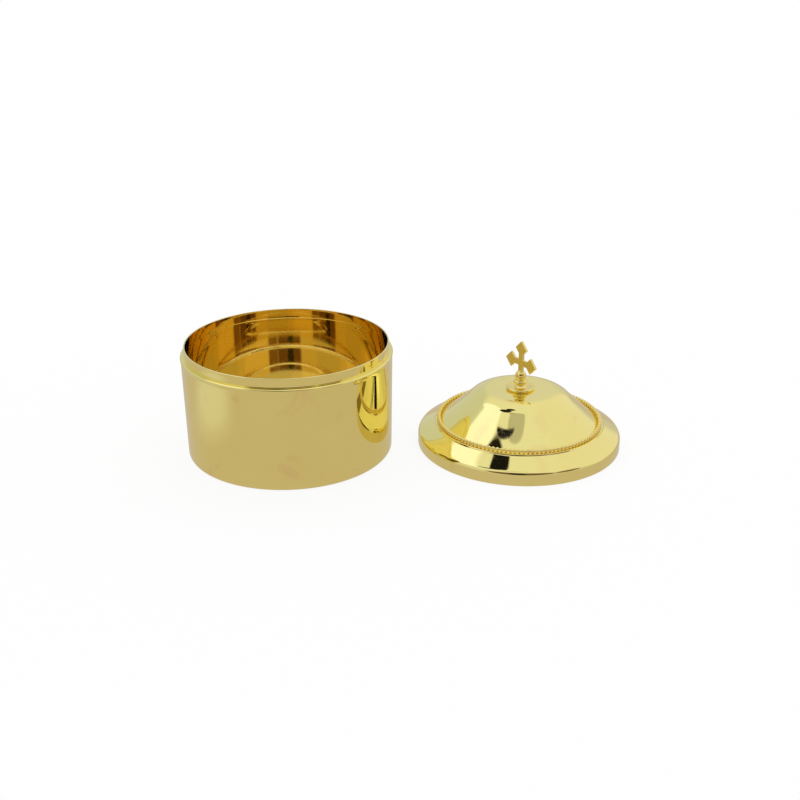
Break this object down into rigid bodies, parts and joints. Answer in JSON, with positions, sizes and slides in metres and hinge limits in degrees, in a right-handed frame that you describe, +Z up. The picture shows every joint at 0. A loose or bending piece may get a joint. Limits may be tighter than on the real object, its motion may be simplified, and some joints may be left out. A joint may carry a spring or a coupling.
{
  "type": "covered ciborium bowl",
  "caption": "Straight-sided polished brass bowl for altar bread with a slip-on domed lid, pearled ring and plate cross finial, the lid standing beside it.",
  "frame": {"origin": "centre of the bowl's flat base, on the surface that the bowl stands on", "axes": "+Z up the bowl's axis, +X from the bowl towards the lid that stands beside it, -Y the front"},
  "size_m": [0.3176, 0.1508, 0.0817],
  "materials": {
    "bowl_brass": "mirror polished and lacquered, golden inside",
    "lid_brass": "mirror polished and lacquered",
    "pearl_brass": "pressed pearled wire, polished and lacquered",
    "finial_brass": "turned and polished",
    "cross_brass": "sawn plate, satin polished faces",
    "fastener_brass": "plain machined"
  },
  "bodies": {
    "bowl": {"bowl_shell": "bowl_brass"},
    "lid": {"lid_shell": "lid_brass", "lid_pearl_ring": "pearl_brass", "finial_flange": "finial_brass", "finial_knob": "finial_brass", "finial_cross": "cross_brass", "finial_washer": "fastener_brass", "finial_nut": "fastener_brass"}
  },
  "joints": [
    {"name": "lid_lift", "type": "slide", "parent": "bowl", "child": "lid", "axis": [0, 0, 1], "range_m": [0, 0.1]}
  ]
}
